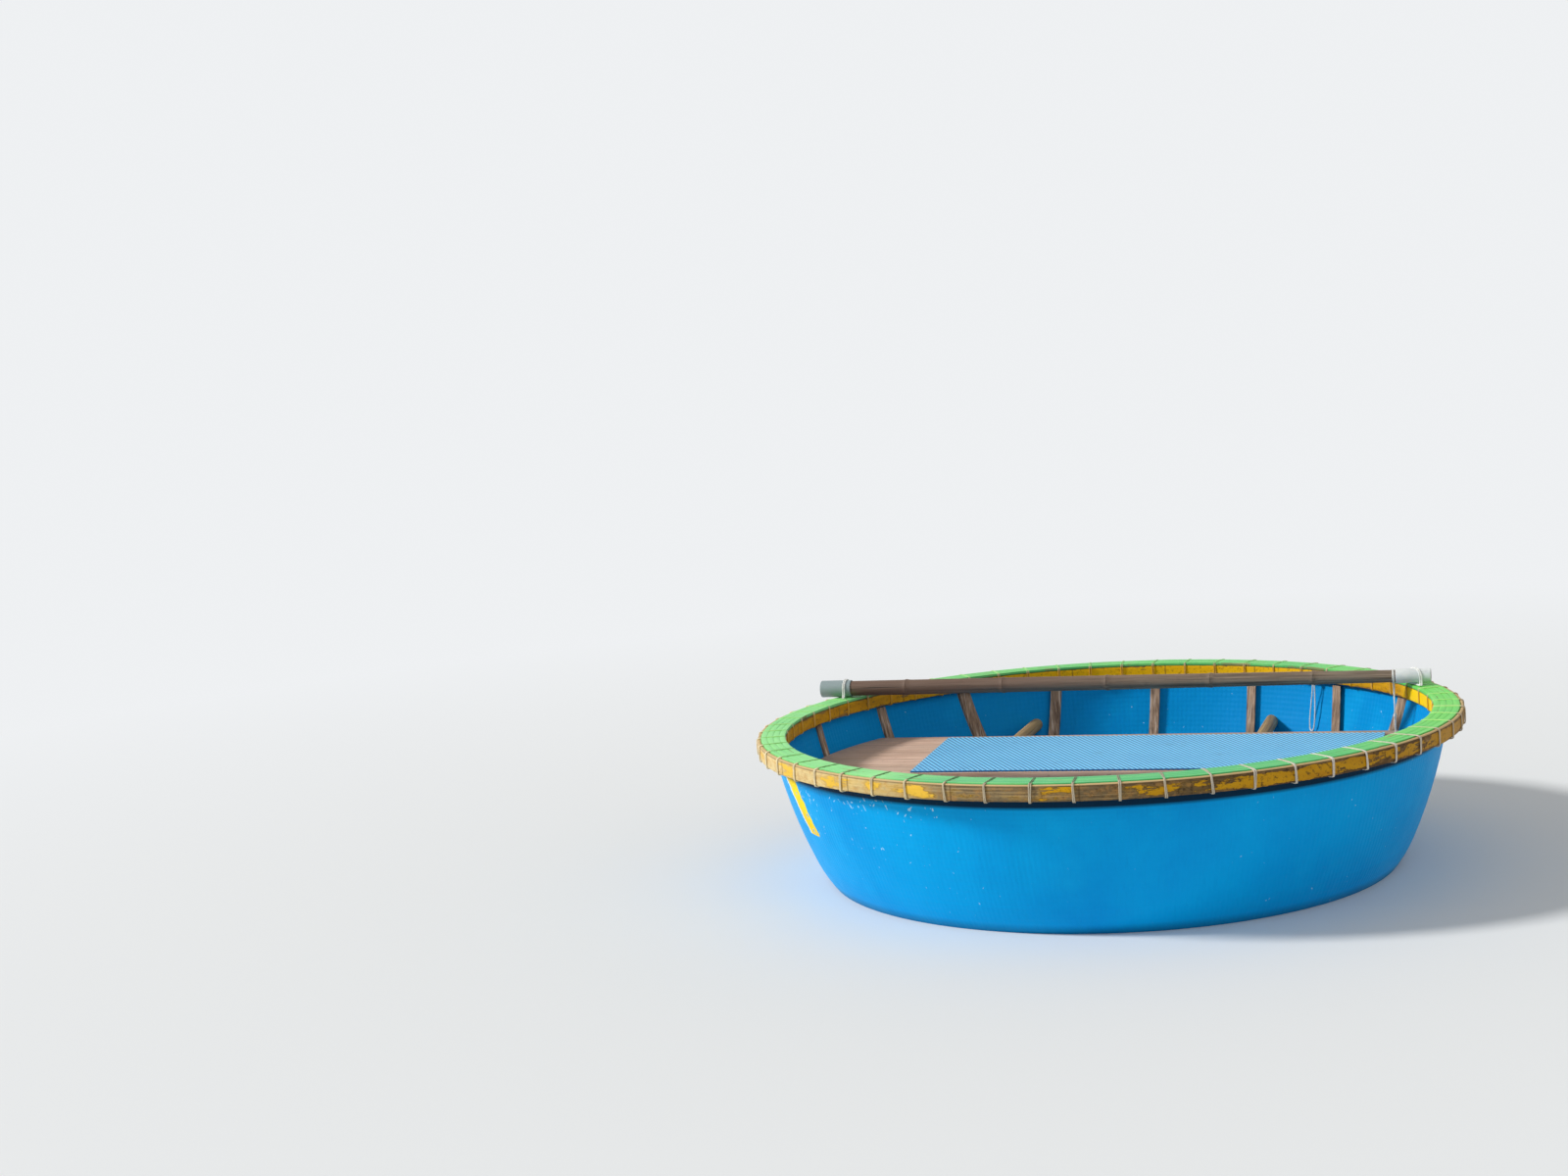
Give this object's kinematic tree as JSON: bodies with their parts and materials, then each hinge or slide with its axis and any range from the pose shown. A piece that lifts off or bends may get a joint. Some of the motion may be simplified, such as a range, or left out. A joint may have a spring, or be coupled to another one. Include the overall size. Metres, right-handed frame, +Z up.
{
  "type": "round basket boat (coracle)",
  "caption": "Round woven basket boat with a coated blue hull, a lashed bamboo rim painted green and yellow, a cross pole, a plank bench with a ridged mat, and a paddle.",
  "frame": {"origin": "on the waterline, under the middle of the round rim", "axes": "+X along the cross pole to its thin end, +Y to the side the pole is tied on, +Z up"},
  "size_m": [2.0936, 2.0936, 0.7013],
  "materials": {
    "hull_coat": "glossy paint over a coated basket, scuffed",
    "rib_bamboo": "weathered split bamboo",
    "ochre_bamboo": "worn ochre paint on split bamboo",
    "yellow_bamboo": "yellow paint on split bamboo",
    "raw_bamboo": "dark raw split bamboo",
    "green_bamboo": "green paint on split bamboo laths",
    "lashing_twine": "plastic twine, weathered",
    "pole_bamboo": "weathered bamboo culm",
    "sleeve_plastic": "sun-bleached plastic pipe",
    "white_cord": "thin plastic cord",
    "plank_wood": "sawn plank, weathered",
    "bearer_bamboo": "dry bamboo culm",
    "ridged_mat": "light blue ribbed plastic mat",
    "paddle_wood": "smooth worn round wood",
    "blade_paint": "dark painted wood"
  },
  "bodies": {
    "root": {"hull_shell": "hull_coat", "rib_01": "rib_bamboo", "rib_02": "rib_bamboo", "rib_03": "rib_bamboo", "rib_04": "rib_bamboo", "rib_05": "rib_bamboo", "rib_06": "rib_bamboo", "rib_07": "rib_bamboo", "rib_08": "rib_bamboo", "rib_09": "rib_bamboo", "outer_band": "ochre_bamboo", "inner_band": "yellow_bamboo", "outer_core_1": "raw_bamboo", "outer_core_2": "raw_bamboo", "inner_core": "raw_bamboo", "crown_lath_1": "green_bamboo", "crown_lath_2": "green_bamboo", "crown_lath_3": "green_bamboo", "crown_lath_4": "green_bamboo", "rim_lashings": "lashing_twine", "cross_pole": "pole_bamboo", "sleeve_left": "sleeve_plastic", "sleeve_right": "sleeve_plastic", "pole_tie_left": "white_cord", "pole_tie_right": "white_cord", "bench_plank_1": "plank_wood", "bench_plank_2": "plank_wood", "bench_plank_3": "plank_wood", "bench_plank_4": "plank_wood", "bench_plank_5": "plank_wood", "bearer_left": "bearer_bamboo", "bearer_right": "bearer_bamboo", "bench_mat": "ridged_mat", "bench_stay": "white_cord", "hanging_loop": "white_cord", "loop_knot": "white_cord", "paddle_shaft": "paddle_wood", "paddle_blade": "blade_paint"}
  },
  "joints": []
}
